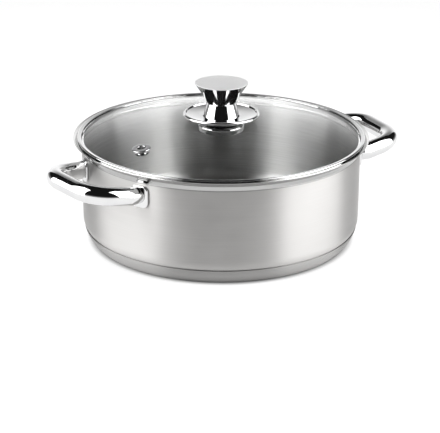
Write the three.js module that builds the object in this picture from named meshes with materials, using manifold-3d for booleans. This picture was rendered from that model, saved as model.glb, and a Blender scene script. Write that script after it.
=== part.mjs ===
// Low stainless-steel casserole with a flared pouring lip, two tubular loop handles,
// an encapsulated base and a domed glass lid with a steam vent and an hourglass knob.
// Millimetres, +Z up. The origin is the centre of the underside; the handles point along X.

import * as THREE from 'three';
import { mergeVertices } from 'three/addons/utils/BufferGeometryUtils.js';
import Module from 'manifold-3d';

const wasm = await Module();
wasm.setup();

// Fits: gap between turned pieces that touch, at a weld, round a bolt and on the glass dome
const SEAT_GAP = 0.15;
const WELD_GAP = 0.3;
const BOLT_GAP = 0.3;
const DOME_GAP = 0.3;

// Pot: the lip bends out of the wall and flares at an angle from upright
const INNER_DIAMETER = 240;
const WALL = 0.8;
const POT_HEIGHT = 91.8;
const CORNER_RADIUS = 14;
const LIP_RISE = 8.8;
const LIP_BEND_RADIUS = 6;
const LIP_ANGLE = 55;
const LIP_EDGE_ROUND = 0.2;

// Encapsulated base: the core reaches past the flat floor, the cap past the core and up the corner
const CORE_THICKNESS = 5.3;
const CORE_OVERHANG = 3.2;
const CORE_CHAMFER = 1;
const CAP_SHEET = 0.6;
const CAP_MARGIN = 1;
const CAP_LAP = 6.6;
const CAP_EDGE_RADIUS = 2.6;
const CAP_EDGE_SWEEP = 60;
const CAP_BULGE = 0.9;

// Handles: projection from the wall, drop below the start of the lip, rise towards the outer bar,
// and the angle by which both stand forward of the X axis, towards -Y
const TUBE_DIAMETER = 15.3;
const TUBE_WALL = 1;
const HANDLE_PROJECTION = 36.3;
const HANDLE_SPAN = 82;
const HANDLE_ARM = 1;
const HANDLE_BEND_EXPONENT = 2.9;
const HANDLE_DROP = 11.7;
const HANDLE_RISE = 6.5;
const HANDLE_FORWARD = 7;
const FOOT_HEIGHT = 18.8;
const FOOT_WIDTH = 17;
const FOOT_THICKNESS = 2;
const FOOT_CORNER = 5;
const FOOT_DROP = 0.4;

// Lid glass and its rim: the glass overlaps the pot's mouth and its edge stands above the lip
const GLASS_OVERLAP = 1.6;
const GLASS_THICKNESS = 3.5;
const GLASS_LIFT = 3.3;
const DOME_RISE = 14.5;
const GLASS_EDGE_CHAMFER = 1.8;
const SEAL_THICKNESS = 0.5;
const SEAL_HEIGHT = 1.3;
const RIM_SHEET = 0.7;
const RIM_COVER = 0.8;
const RIM_BEAD_RADIUS = 1.1;
const RIM_BEAD_INSET = 0.3;
const RIM_SEAT = 0.4;
const SKIRT_CLEARANCE = 0.6;
const SKIRT_DEPTH = 2;

// Steam vent: inset from the glass edge, angle from -X towards -Y
const VENT_INSET = 30.8;
const VENT_ANGLE = 12.7;
const VENT_HOLE_DIAMETER = 7;
const EYELET_DIAMETER = 16;
const EYELET_SHEET = 0.8;
const EYELET_FLANGE = 1.1;
const EYELET_CRIMP = 2.2;

// Knob, its dish and its fixing
const KNOB_TOP_DIAMETER = 45.6;
const KNOB_WAIST_DIAMETER = 23.9;
const KNOB_FOOT_DIAMETER = 31.8;
const KNOB_HEIGHT = 30;
const KNOB_WAIST_HEIGHT = 11.1;
const KNOB_WALL = 1.2;
const KNOB_HOLLOW = 0.6;
const KNOB_CAP_THICKNESS = 0.6;
const KNOB_CAP_EDGE = 0.2;
const KNOB_CAP_DOME = 1.2;
const KNOB_CAP_SPIGOT = 1.4;
const DISH_DIAMETER = 64;
const DISH_RISE = 2.8;
const DISH_SHEET = 1.2;
const GASKET_DIAMETER = 25;
const UPPER_GASKET = 1.2;
const LOWER_GASKET = 1;
const WASHER_DIAMETER = 40;
const WASHER_DEPTH = 6;
const WASHER_SHOULDER = 2.6;
const WASHER_SHEET = 1.2;
const SCREW_DIAMETER = 5;
const SCREW_POINT = 1.2;
const SCREW_HEAD_DIAMETER = 10;
const SCREW_HEAD_HEIGHT = 2.8;
const SCREW_HEAD_DOME = 1.7;
const SCREW_GRIP = 12;

// Facets round each turned piece, and steps along each curve
const POT_FACETS = 48;
const KNOB_FACETS = 32;
const SMALL_FACETS = 20;
const CORNER_STEPS = 5;
const LIP_STEPS = 3;
const DOME_STEPS = 6;
const CURVE_STEPS = 4;
const EDGE_STEPS = 3;
const ROUND_STEPS = 2;
const HANDLE_STEPS = 28;
const TUBE_SEGMENTS = 6;

function at(radius, height) {
  return new THREE.Vector2(radius, height);
}

function polar(centre, radius, degrees) {
  const angle = THREE.MathUtils.degToRad(degrees);
  return at(centre.x + radius * Math.cos(angle), centre.y + radius * Math.sin(angle));
}

// Points of an arc in the (radius, height) plane, both ends included
function arc(centre, radius, fromDegrees, toDegrees, steps) {
  const points = [];
  for (let i = 0; i <= steps; i += 1) {
    points.push(polar(centre, radius, fromDegrees + ((toDegrees - fromDegrees) * i) / steps));
  }
  return points;
}

// Points of a shallow crown from its edge in to the axis
function crown(radius, edgeHeight, rise, steps) {
  const sphere = (radius ** 2 + rise ** 2) / (2 * rise);
  const sweep = THREE.MathUtils.radToDeg(Math.asin(radius / sphere));
  const points = arc(at(0, edgeHeight + rise - sphere), sphere, 90 - sweep, 90, steps);
  points[steps] = at(0, edgeHeight + rise);
  return points;
}

// Solid of revolution about Z from an outline that closes on itself or starts and ends on the axis
function revolve(outline, facets) {
  const points = THREE.ShapeUtils.isClockWise(outline) ? [...outline].reverse() : [...outline];
  if (points[0].x > 0) points.push(points[0].clone());
  return new THREE.LatheGeometry(points, facets).rotateX(Math.PI / 2);
}

function toSolid(geometry) {
  const bare = geometry.clone();
  bare.deleteAttribute('normal');
  bare.deleteAttribute('uv');
  const merged = mergeVertices(bare, 1e-4);
  const corners = merged.index.array;
  const triangles = [];
  for (let i = 0; i < corners.length; i += 3) {
    const [a, b, c] = [corners[i], corners[i + 1], corners[i + 2]];
    if (a !== b && b !== c && c !== a) triangles.push(a, b, c);
  }
  return new wasm.Manifold(new wasm.Mesh({
    numProp: 3,
    vertProperties: new Float32Array(merged.attributes.position.array),
    triVerts: new Uint32Array(triangles),
  }));
}

function toGeometry(solid) {
  const mesh = solid.getMesh();
  const geometry = new THREE.BufferGeometry();
  geometry.setAttribute('position', new THREE.BufferAttribute(mesh.vertProperties, 3));
  geometry.setIndex(new THREE.BufferAttribute(mesh.triVerts, 1));
  geometry.computeVertexNormals();
  return geometry;
}

// Plain cylinder along Z, used as a cutter
function drum(radius, bottom, top, facets) {
  return revolve([at(0, bottom), at(radius, bottom), at(radius, top), at(0, top)], facets);
}

// Flat ring along Z
function ring(inner, outer, bottom, top, facets) {
  return revolve([at(inner, bottom), at(outer, bottom), at(outer, top), at(inner, top)], facets);
}

// Pot body: floor, rounded corner, wall and flared lip, drawn from one sheet
const innerRadius = INNER_DIAMETER / 2;
const outerRadius = innerRadius + WALL;
const floorUnderside = CAP_SHEET + CORE_THICKNESS + 2 * SEAT_GAP;
const cornerCentre = at(outerRadius - CORNER_RADIUS, floorUnderside + CORNER_RADIUS);
const lipBend = at(outerRadius + LIP_BEND_RADIUS, POT_HEIGHT - LIP_RISE);
const lipInnerBend = LIP_BEND_RADIUS + WALL;
const flareStart = polar(lipBend, lipInnerBend, 180 - LIP_ANGLE);
const flareRun = Math.tan(THREE.MathUtils.degToRad(LIP_ANGLE));
const lipTop = at(flareStart.x + (POT_HEIGHT - flareStart.y) * flareRun, POT_HEIGHT);
const lipEdge = polar(lipTop, WALL, -LIP_ANGLE);

// Height of the lip's inner surface at a radius
function lipSurface(radius) {
  if (radius >= flareStart.x) return flareStart.y + (radius - flareStart.x) / flareRun;
  const side = lipBend.x - radius;
  return lipBend.y + Math.sqrt(lipInnerBend ** 2 - side ** 2);
}

function potBody() {
  const lipMiddle = polar(lipTop.clone().lerp(lipEdge, 0.5), LIP_EDGE_ROUND, 90 - LIP_ANGLE);
  return revolve([
    at(0, floorUnderside),
    ...arc(cornerCentre, CORNER_RADIUS, -90, 0, CORNER_STEPS),
    ...arc(lipBend, LIP_BEND_RADIUS, 180, 180 - LIP_ANGLE, LIP_STEPS),
    lipEdge,
    lipMiddle,
    lipTop,
    ...arc(lipBend, lipInnerBend, 180 - LIP_ANGLE, 180, LIP_STEPS),
    ...arc(cornerCentre, CORNER_RADIUS - WALL, 0, -90, CORNER_STEPS),
    at(0, floorUnderside + WALL),
  ], POT_FACETS);
}

// Base cap: a shallow cup whose side leans out to the pot's corner, and the core inside it
const coreRadius = cornerCentre.x + CORE_OVERHANG;
const capFlat = coreRadius + CAP_MARGIN;
const capHeight = floorUnderside + CAP_LAP;
const capTopInner = cornerCentre.x + WELD_GAP
  + Math.sqrt(CORNER_RADIUS ** 2 - (cornerCentre.y - capHeight) ** 2);

// Side of the cap from its lower edge to its rim, bulged outwards a little, moved in by an inset
function capSide(inset) {
  const edge = at(capFlat, CAP_EDGE_RADIUS);
  const rim = at(capTopInner + CAP_SHEET - inset, capHeight);
  const edgeArc = arc(edge, CAP_EDGE_RADIUS - inset, -90, CAP_EDGE_SWEEP - 90, EDGE_STEPS);
  const middle = edgeArc[EDGE_STEPS].clone().lerp(rim, 0.5).add(at(CAP_BULGE, 0));
  return [...edgeArc, middle, rim];
}

function baseCap() {
  return revolve([
    at(0, 0),
    ...capSide(0),
    ...capSide(CAP_SHEET).reverse(),
    at(0, CAP_SHEET),
  ], POT_FACETS);
}

function baseCore() {
  const bottom = CAP_SHEET + SEAT_GAP;
  const top = bottom + CORE_THICKNESS;
  return revolve([
    at(0, bottom),
    at(coreRadius - CORE_CHAMFER, bottom),
    at(coreRadius, bottom + CORE_CHAMFER),
    at(coreRadius, top),
    at(0, top),
  ], POT_FACETS);
}

// Handle: a tube bent to half a rounded rectangle, rising a little towards its outer bar
const footInner = outerRadius + WELD_GAP;
const footOuter = footInner + FOOT_THICKNESS;
const halfSpan = HANDLE_SPAN / 2;
const bendStart = Math.sqrt(footOuter ** 2 - halfSpan ** 2) + HANDLE_ARM;
const handleReach = outerRadius + HANDLE_PROJECTION;
const handleHeight = lipBend.y - HANDLE_DROP;

// Middle line of the tube; past each end of the bend it runs straight back into the wall
class HandleLine extends THREE.Curve {
  getPoint(t, target = new THREE.Vector3()) {
    const armShare = 0.1;
    const armLength = bendStart - Math.sqrt(footInner ** 2 - (halfSpan + TUBE_DIAMETER / 2) ** 2);
    const past = Math.max(0, armShare - t, t - (1 - armShare)) / armShare;
    const bend = THREE.MathUtils.clamp((t - armShare) / (1 - 2 * armShare), 0, 1);
    const power = 2 / HANDLE_BEND_EXPONENT;
    const cosine = Math.cos(Math.PI * bend);
    const sine = Math.sin(Math.PI * bend);
    const out = (handleReach - bendStart) * Math.abs(sine) ** power - armLength * past;
    const across = halfSpan * Math.sign(cosine) * Math.abs(cosine) ** power;
    const rise = (HANDLE_RISE * out) / (handleReach - bendStart);
    return target.set(bendStart + out, across, handleHeight + rise);
  }
}

function handleTube() {
  const section = new THREE.Shape().absarc(0, 0, TUBE_DIAMETER / 2, 0, 2 * Math.PI);
  section.holes.push(new THREE.Path().absarc(0, 0, TUBE_DIAMETER / 2 - TUBE_WALL, 0, 2 * Math.PI));
  const tube = new THREE.ExtrudeGeometry(section, {
    steps: HANDLE_STEPS,
    curveSegments: TUBE_SEGMENTS,
    extrudePath: new HandleLine(),
    bevelEnabled: false,
  });
  const pot = drum(footOuter + WELD_GAP, 0, POT_HEIGHT, 2 * POT_FACETS);
  return toGeometry(toSolid(tube).subtract(toSolid(pot)));
}

// Foot of a handle arm: a rounded plate curved to the wall, at one side (1 or -1) of the +X handle
function handleFoot(side) {
  const outline = new THREE.Shape();
  const across = FOOT_WIDTH / 2 - FOOT_CORNER;
  const up = FOOT_HEIGHT / 2 - FOOT_CORNER;
  const corners = [[across, up], [-across, up], [-across, -up], [across, -up]];
  corners.forEach(([x, y], i) => {
    outline.absarc(x, y, FOOT_CORNER, (i * Math.PI) / 2, ((i + 1) * Math.PI) / 2);
  });
  const blockDepth = 4 * FOOT_THICKNESS;
  const block = new THREE.ExtrudeGeometry(outline, {
    depth: blockDepth,
    curveSegments: EDGE_STEPS,
    bevelEnabled: false,
  });
  block.rotateX(Math.PI / 2).rotateZ(Math.PI / 2);
  block.translate((footInner + footOuter - blockDepth) / 2, 0, handleHeight - FOOT_DROP);
  block.rotateZ(side * Math.asin(halfSpan / footOuter));
  const shell = ring(footInner, footOuter, 0, POT_HEIGHT, 2 * POT_FACETS);
  return toGeometry(toSolid(block).intersect(toSolid(shell)));
}

// Lid glass: a spherical shell with a ground lower edge, a bolt hole and a vent hole
const glassRadius = innerRadius + GLASS_OVERLAP;
const channelWall = glassRadius + SEAL_THICKNESS + 2 * SEAT_GAP;
const glassEdge = lipSurface(channelWall) + GLASS_LIFT;
const glassApex = glassEdge + DOME_RISE;
const domeRadius = (glassRadius ** 2 + DOME_RISE ** 2) / (2 * DOME_RISE);
const boltHole = SCREW_DIAMETER / 2 + BOLT_GAP;
const ventRadius = glassRadius - VENT_INSET;
const ventBarrel = VENT_HOLE_DIAMETER / 2 + EYELET_SHEET;

// Height of the dome at a radius, on the surface that lies a depth below its top
function domeSurface(radius, depth) {
  const sphere = domeRadius - depth;
  return glassApex - depth - sphere + Math.sqrt(sphere ** 2 - radius ** 2);
}

function domeLine(fromRadius, toRadius, depth) {
  const points = [];
  for (let i = 0; i <= DOME_STEPS; i += 1) {
    const radius = THREE.MathUtils.lerp(fromRadius, toRadius, i / DOME_STEPS);
    points.push(at(radius, domeSurface(radius, depth)));
  }
  return points;
}

// Moves a piece made round Z at the glass's top surface to the vent's place on the dome
function placeAtVent(object) {
  const angle = THREE.MathUtils.degToRad(180 + VENT_ANGLE);
  const tilt = Math.asin(ventRadius / domeRadius);
  object.rotation.set(0, tilt, angle, 'ZYX');
  object.position.set(Math.cos(angle), Math.sin(angle), 0).multiplyScalar(ventRadius);
  object.position.z = domeSurface(ventRadius, 0);
  object.updateMatrix();
  return object;
}

const glassFoot = glassRadius - GLASS_EDGE_CHAMFER;
const glassFootHeight = domeSurface(glassFoot, GLASS_THICKNESS);

function lidGlass() {
  const dome = revolve([
    ...domeLine(boltHole, glassRadius, 0),
    at(glassRadius, glassFootHeight + GLASS_EDGE_CHAMFER),
    ...domeLine(glassFoot, boltHole, GLASS_THICKNESS),
  ], POT_FACETS);
  const drillReach = 3 * GLASS_THICKNESS;
  const drill = drum(ventBarrel + BOLT_GAP, -drillReach, drillReach, SMALL_FACETS);
  drill.applyMatrix4(placeAtVent(new THREE.Object3D()).matrix);
  return toGeometry(toSolid(dome).subtract(toSolid(drill)));
}

// Eyelet: a barrel through the glass with a rolled flange above and a crimped one below
function ventEyelet() {
  const bore = VENT_HOLE_DIAMETER / 2;
  const roll = EYELET_FLANGE / 2;
  const rollHeight = DOME_GAP + roll;
  const under = -GLASS_THICKNESS - DOME_GAP;
  const crimp = ventBarrel + EYELET_CRIMP;
  return revolve([
    at(bore, under - EYELET_SHEET),
    at(crimp, under - EYELET_SHEET),
    at(crimp, under),
    at(ventBarrel, under),
    at(ventBarrel, DOME_GAP),
    ...arc(at(EYELET_DIAMETER / 2 - roll, rollHeight), roll, -90, 90, EDGE_STEPS),
    ...arc(at(bore + roll, rollHeight), roll, 90, 180, ROUND_STEPS),
  ], SMALL_FACETS);
}

// Lid rim: a band rolled round the glass edge, with a bead on top, a seat on the lip and a short skirt
function lidRim() {
  const bead = at(channelWall + RIM_BEAD_RADIUS - RIM_BEAD_INSET, glassEdge + RIM_BEAD_INSET);
  const cover = at(glassRadius - RIM_COVER, domeSurface(glassRadius - RIM_COVER, 0) + SEAT_GAP);
  const coverRound = at(cover.x + RIM_SHEET / 2, cover.y + RIM_SHEET / 2);
  const skirtOuter = innerRadius - SKIRT_CLEARANCE;
  const skirtInner = skirtOuter - RIM_SHEET;
  const channelFloor = glassFootHeight - WELD_GAP;
  const skirtTop = channelFloor - RIM_SHEET;
  const seatOuter = bead.x + RIM_SEAT;
  const seatLift = (2 * SEAT_GAP) / Math.sin(THREE.MathUtils.degToRad(LIP_ANGLE));
  return revolve([
    cover,
    ...arc(coverRound, RIM_SHEET / 2, 180, 90, ROUND_STEPS),
    ...arc(bead, RIM_BEAD_RADIUS, 110, -50, CURVE_STEPS),
    at(seatOuter, lipSurface(seatOuter) + seatLift),
    at(channelWall, lipSurface(channelWall) + seatLift),
    at(skirtOuter, skirtTop),
    at(skirtOuter, skirtTop - SKIRT_DEPTH),
    at(skirtInner, skirtTop - SKIRT_DEPTH),
    at(skirtInner, channelFloor),
    at(glassFoot, channelFloor),
    at(channelWall, channelFloor + GLASS_EDGE_CHAMFER),
    at(channelWall, cover.y),
  ], POT_FACETS);
}

function lidEdgeSeal() {
  const inner = glassRadius + SEAT_GAP;
  return ring(inner, inner + SEAL_THICKNESS, glassEdge - SEAL_HEIGHT, glassEdge, POT_FACETS);
}

// Heights of the knob's pieces, stacked up from the top of the glass and down from its underside
const upperGasketBottom = glassApex + SEAT_GAP;
const upperGasketTop = upperGasketBottom + UPPER_GASKET;
const dishBottom = upperGasketTop + SEAT_GAP;
const dishTop = dishBottom + DISH_SHEET;
const knobFoot = dishTop + SEAT_GAP;
const knobWaist = knobFoot + KNOB_WAIST_HEIGHT;
const knobTop = knobFoot + KNOB_HEIGHT - KNOB_CAP_THICKNESS - KNOB_CAP_DOME;
const knobCapBottom = knobTop + SEAT_GAP;
const spigotBottom = knobCapBottom - KNOB_CAP_SPIGOT;
const lowerGasketTop = domeSurface(GASKET_DIAMETER / 2, GLASS_THICKNESS) - SEAT_GAP;
const lowerGasketBottom = lowerGasketTop - LOWER_GASKET;
const washerTop = lowerGasketBottom - SEAT_GAP;
const washerBottom = washerTop - WASHER_SHEET;
const headTop = washerBottom - SEAT_GAP;
const screwTip = knobFoot + SCREW_GRIP;

// Outer radius of the knob's upper cone at a height, hollowed a little in profile
function upperKnobRadius(height) {
  const share = (height - knobWaist) / (knobTop - knobWaist);
  const straight = THREE.MathUtils.lerp(KNOB_WAIST_DIAMETER, KNOB_TOP_DIAMETER, share) / 2;
  return straight - 4 * KNOB_HOLLOW * share * (1 - share);
}

// Knob shell: two cones that meet at a sharp waist
function knobLine(inset) {
  const points = [at(KNOB_FOOT_DIAMETER / 2 - inset, knobFoot)];
  for (let i = 0; i <= CURVE_STEPS; i += 1) {
    const height = THREE.MathUtils.lerp(knobWaist, knobTop, i / CURVE_STEPS);
    points.push(at(upperKnobRadius(height) - inset, height));
  }
  return points;
}

function knobBody() {
  return revolve([...knobLine(0), ...knobLine(KNOB_WALL).reverse()], KNOB_FACETS);
}

// Knob cap: a crowned disc with an eased edge, centred in the shell by a spigot
function knobCap() {
  const outer = KNOB_TOP_DIAMETER / 2;
  const spigot = upperKnobRadius(spigotBottom) - KNOB_WALL - BOLT_GAP;
  const crownEdge = knobCapBottom + KNOB_CAP_THICKNESS;
  return revolve([
    at(0, spigotBottom),
    at(spigot, spigotBottom),
    at(spigot, knobCapBottom),
    at(outer, knobCapBottom),
    at(outer, crownEdge - KNOB_CAP_EDGE),
    ...crown(outer - KNOB_CAP_EDGE, crownEdge, KNOB_CAP_DOME, CURVE_STEPS),
  ], KNOB_FACETS);
}

function knobStem() {
  const radius = KNOB_WAIST_DIAMETER / 2 - KNOB_WALL - BOLT_GAP;
  const top = spigotBottom - SEAT_GAP;
  const bore = SCREW_DIAMETER / 2 + SEAT_GAP;
  const boreTop = screwTip + SCREW_DIAMETER;
  return revolve([
    at(bore, knobFoot),
    at(radius, knobFoot),
    at(radius, top),
    at(0, top),
    at(0, boreTop),
    at(bore, boreTop - bore),
  ], KNOB_FACETS);
}

// Dish under the knob: flat in the middle and curving up to a rounded rim
function knobFlange() {
  const flat = KNOB_FOOT_DIAMETER / 2;
  const run = DISH_DIAMETER / 2 - flat;
  const curve = (run ** 2 + DISH_RISE ** 2) / (2 * DISH_RISE);
  const sweep = THREE.MathUtils.radToDeg(Math.asin(run / curve));
  const centre = at(flat, dishTop + curve);
  const rim = polar(centre, curve + DISH_SHEET / 2, sweep - 90);
  return revolve([
    at(boltHole, dishBottom),
    ...arc(centre, curve + DISH_SHEET, -90, sweep - 90, CURVE_STEPS),
    polar(rim, DISH_SHEET / 2, sweep),
    ...arc(centre, curve, sweep - 90, -90, CURVE_STEPS),
    at(boltHole, dishTop),
  ], KNOB_FACETS);
}

// Screw through the glass from below, with a domed head
function knobScrew() {
  const shank = SCREW_DIAMETER / 2;
  const headSide = headTop - SCREW_HEAD_HEIGHT + SCREW_HEAD_DOME;
  const dome = crown(SCREW_HEAD_DIAMETER / 2, 0, SCREW_HEAD_DOME, EDGE_STEPS);
  return revolve([
    ...dome.reverse().map((point) => at(point.x, headSide - point.y)),
    at(SCREW_HEAD_DIAMETER / 2, headTop),
    at(shank, headTop),
    at(shank, screwTip - SCREW_POINT),
    at(shank - SCREW_POINT, screwTip),
    at(0, screwTip),
  ], SMALL_FACETS);
}

// Washer under the glass: a bell with a round shoulder that hides the screw's head
function bellLine(inset) {
  const outer = WASHER_DIAMETER / 2 - inset;
  const shoulder = at(WASHER_DIAMETER / 2 - WASHER_SHOULDER, washerTop - WASHER_SHOULDER);
  return [
    at(outer, washerTop - WASHER_DEPTH),
    ...arc(shoulder, WASHER_SHOULDER - inset, 0, 90, ROUND_STEPS),
    at(boltHole, washerTop - inset),
  ];
}

function backingWasher() {
  return revolve([...bellLine(0), ...bellLine(WASHER_SHEET).reverse()], KNOB_FACETS);
}

// Gasket round the screw
function screwRing(diameter, bottom, top) {
  return ring(boltHole, diameter / 2, bottom, top, SMALL_FACETS);
}

function finish(color, roughness, metalness) {
  return new THREE.MeshStandardMaterial({ color, roughness, metalness });
}

const brushedSteel = finish(0xb9b9b8, 0.35, 1);
const polishedSteel = finish(0xd6d6d6, 0.08, 1);
const satinSteel = finish(0xdedede, 0.4, 1);
const aluminium = finish(0xc8cacc, 0.5, 1);
const silicone = finish(0x2b2b2b, 0.7, 0);
const clearGlass = new THREE.MeshStandardMaterial({
  color: 0xe9f1ef,
  roughness: 0.03,
  metalness: 0,
  transparent: true,
  opacity: 0.25,
});

function piece(name, geometry, material) {
  const mesh = new THREE.Mesh(geometry, material.clone());
  mesh.name = name;
  return mesh;
}

const pot = new THREE.Group();
pot.add(
  piece('pot_body', potBody(), brushedSteel),
  piece('base_core', baseCore(), aluminium),
  piece('base_cap', baseCap(), brushedSteel),
);

// Both handles stand a little forward, so the left one mirrors the right one
const forward = THREE.MathUtils.degToRad(HANDLE_FORWARD);
for (const [hand, turn, front] of [['right', -forward, -1], ['left', Math.PI + forward, 1]]) {
  const handle = new THREE.Group();
  handle.rotation.z = turn;
  handle.add(
    piece(`${hand}_handle`, handleTube(), polishedSteel),
    piece(`${hand}_handle_front_foot`, handleFoot(front), polishedSteel),
    piece(`${hand}_handle_rear_foot`, handleFoot(-front), polishedSteel),
  );
  pot.add(handle);
}

const lid = new THREE.Group();
lid.add(
  piece('lid_glass', lidGlass(), clearGlass),
  piece('lid_rim', lidRim(), polishedSteel),
  piece('lid_edge_seal', lidEdgeSeal(), silicone),
  placeAtVent(piece('vent_eyelet', ventEyelet(), polishedSteel)),
  piece('knob_body', knobBody(), polishedSteel),
  piece('knob_cap', knobCap(), satinSteel),
  piece('knob_stem', knobStem(), brushedSteel),
  piece('knob_flange', knobFlange(), polishedSteel),
  piece('knob_upper_gasket', screwRing(GASKET_DIAMETER, upperGasketBottom, upperGasketTop), silicone),
  piece('knob_lower_gasket', screwRing(GASKET_DIAMETER, lowerGasketBottom, lowerGasketTop), silicone),
  piece('knob_backing_washer', backingWasher(), polishedSteel),
  piece('knob_screw', knobScrew(), brushedSteel),
);

const cookingPot = new THREE.Group();
cookingPot.add(pot, lid);

export default cookingPot;
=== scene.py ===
# %% [markdown]
# Low casserole with a glass lid: a lesson in turned metal
#
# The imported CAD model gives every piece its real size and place, and the lid its lift. Its solids are
# faceted, which is right for measuring and wrong for mirrors: polished steel shows every flat. So this
# lesson keeps the CAD as a fixed frame and turns, sweeps and bends each visible piece again with a fine
# mesh on the same sizes, then gives each its finish with shader nodes.

# %% Load the frame
import math

import bmesh
import bpy
from mathutils import Matrix, Quaternion, Vector


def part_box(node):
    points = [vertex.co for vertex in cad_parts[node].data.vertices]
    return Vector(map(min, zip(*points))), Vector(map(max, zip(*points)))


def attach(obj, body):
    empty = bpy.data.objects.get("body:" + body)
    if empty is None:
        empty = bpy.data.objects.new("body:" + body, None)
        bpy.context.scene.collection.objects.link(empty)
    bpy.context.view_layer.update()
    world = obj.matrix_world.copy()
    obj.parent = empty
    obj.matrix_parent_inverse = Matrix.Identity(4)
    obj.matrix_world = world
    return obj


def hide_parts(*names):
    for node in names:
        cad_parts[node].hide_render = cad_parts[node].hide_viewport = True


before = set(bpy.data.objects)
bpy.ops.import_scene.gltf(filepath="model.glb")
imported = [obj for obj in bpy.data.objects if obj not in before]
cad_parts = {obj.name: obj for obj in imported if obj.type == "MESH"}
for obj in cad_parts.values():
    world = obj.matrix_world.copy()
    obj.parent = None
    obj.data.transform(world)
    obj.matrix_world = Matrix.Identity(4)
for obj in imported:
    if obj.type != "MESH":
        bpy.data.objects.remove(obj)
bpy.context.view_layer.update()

MM = 0.001


def box_mm(node):
    """Lowest and highest corner of a CAD node, in mm."""
    return [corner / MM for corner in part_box(node)]


# %% [markdown]
# The camera stands where the photographer stood: a long lens about 1.3 m from the pot, looking down by
# 21 degrees, with the left handle turned towards it. A long lens keeps the rim's ellipse calm. The lens
# is written as a focal length in pixels of the picture, because that is what can be measured in one.

# %% Camera
PICTURE_WIDTH = 440
FOCAL_PIXELS = 1494.8
SENSOR_WIDTH = 36.0
CAMERA_DISTANCE = 1324.1
CAMERA_ELEVATION = 21.04
CAMERA_AZIMUTH = -30.9
CAMERA_ROLL = 0.38
CAMERA_SHIFT_PIXELS = -0.59
AIM_HEIGHT = 14.77


def compass(azimuth, elevation):
    """Unit vector; azimuth 0 points along -Y and 90 along +X, seen from above, in degrees."""
    a = math.radians(azimuth)
    e = math.radians(elevation)
    return Vector((math.sin(a) * math.cos(e), -math.cos(a) * math.cos(e), math.sin(e)))


camera = bpy.data.objects.new("camera", bpy.data.cameras.new("camera"))
bpy.context.scene.collection.objects.link(camera)
bpy.context.scene.camera = camera
camera.data.sensor_width = SENSOR_WIDTH
camera.data.lens = SENSOR_WIDTH * FOCAL_PIXELS / PICTURE_WIDTH
camera.data.shift_x = CAMERA_SHIFT_PIXELS / PICTURE_WIDTH
to_camera = compass(CAMERA_AZIMUTH, CAMERA_ELEVATION)
camera.location = Vector((0, 0, AIM_HEIGHT * MM)) + to_camera * CAMERA_DISTANCE * MM
camera.rotation_mode = "QUATERNION"
upright = (-to_camera).to_track_quat("-Z", "Y")
camera.rotation_quaternion = upright @ Quaternion((0, 0, 1), math.radians(CAMERA_ROLL))
print("camera at", [round(x, 3) for x in camera.location], "lens", round(camera.data.lens, 1), "mm")

# %% [markdown]
# Most of the pot is turned work: shell, cup, lid band, knob and washers are all solids of revolution.
# Blender's Screw modifier could spin a profile, but a short bmesh function gives exact rings and lets
# every outline be written in millimetres as a draughtsman would: arcs, corners and easings.

# %% Outlines and turning
TURNS = 256
ON_AXIS = 1e-4


def arc(centre, radius, start, end, steps=16):
    """Points of an arc in the (radius, height) plane, angles in degrees, both ends included."""
    points = []
    for i in range(steps + 1):
        angle = math.radians(start + (end - start) * i / steps)
        points.append((centre[0] + radius * math.cos(angle), centre[1] + radius * math.sin(angle)))
    return points


def turned_mesh(name, outline, turns=TURNS):
    """Mesh of revolution about Z from a closed (radius, height) outline in mm."""
    bm = bmesh.new()
    rings = []
    for radius, height in outline:
        if radius < ON_AXIS:
            rings.append([bm.verts.new((0, 0, height * MM))])
            continue
        ring = []
        for i in range(turns):
            angle = 2 * math.pi * i / turns
            spot = (radius * math.cos(angle) * MM, radius * math.sin(angle) * MM, height * MM)
            ring.append(bm.verts.new(spot))
        rings.append(ring)
    for low, high in zip(rings, rings[1:] + rings[:1]):
        if len(low) == len(high) == 1:
            continue
        for i in range(turns):
            j = (i + 1) % turns
            corners = [low[i % len(low)], low[j % len(low)], high[j % len(high)], high[i % len(high)]]
            bm.faces.new(list(dict.fromkeys(corners)))
    return mesh_from(bm, name)


print("turned pieces have", TURNS, "sides unless they are small")

# %% [markdown]
# Tubes and plates aren't turned, but they are still stacks of rings, so a second function skins rings of
# any shape. Both end in the same place: normals are made to point outwards, and shading is smooth except
# at edges sharper than 32 degrees, so that round stays round and a cut edge stays crisp.

# %% Ring skins and pieces
SHARP_ANGLE = 32


def ring_mesh(name, rings):
    """Closed mesh through rings of points in mm, all with the same count."""
    bm = bmesh.new()
    made = [[bm.verts.new(spot * MM) for spot in ring] for ring in rings]
    count = len(made[0])
    for low, high in zip(made, made[1:]):
        for k in range(count):
            j = (k + 1) % count
            bm.faces.new((low[k], low[j], high[j], high[k]))
    bm.faces.new(made[0])
    bm.faces.new(made[-1])
    return mesh_from(bm, name)


def mesh_from(bm, name):
    """Mesh with outward faces and smooth shading that breaks at sharp edges."""
    bmesh.ops.recalc_face_normals(bm, faces=bm.faces)
    mesh = bpy.data.meshes.new(name)
    bm.to_mesh(mesh)
    bm.free()
    mesh.shade_smooth()
    mesh.set_sharp_from_angle(angle=math.radians(SHARP_ANGLE))
    return mesh


def piece(name, mesh, body, node, material):
    """Object that stands for a CAD node, rides on its body and takes its finish."""
    obj = bpy.data.objects.new(name, mesh)
    bpy.context.scene.collection.objects.link(obj)
    mesh.materials.append(material)
    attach(obj, body)
    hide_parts(node)
    print(name, "stands for", node, "with", len(mesh.vertices), "points")
    return obj


print("edges sharper than", SHARP_ANGLE, "degrees stay crisp")

# %% [markdown]
# Finishes. Brushed, polished and satin steel are one metal with different surfaces, so what they share
# is built once as node groups: lines left by a turning brush, a slow haze left by the polishing wheel,
# and stray hairlines from use. A group hands out plain masks, and each material decides what they do.
# Nodes could be placed by hand in the shader editor. A few helpers keep the same trees readable as text.

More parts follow.
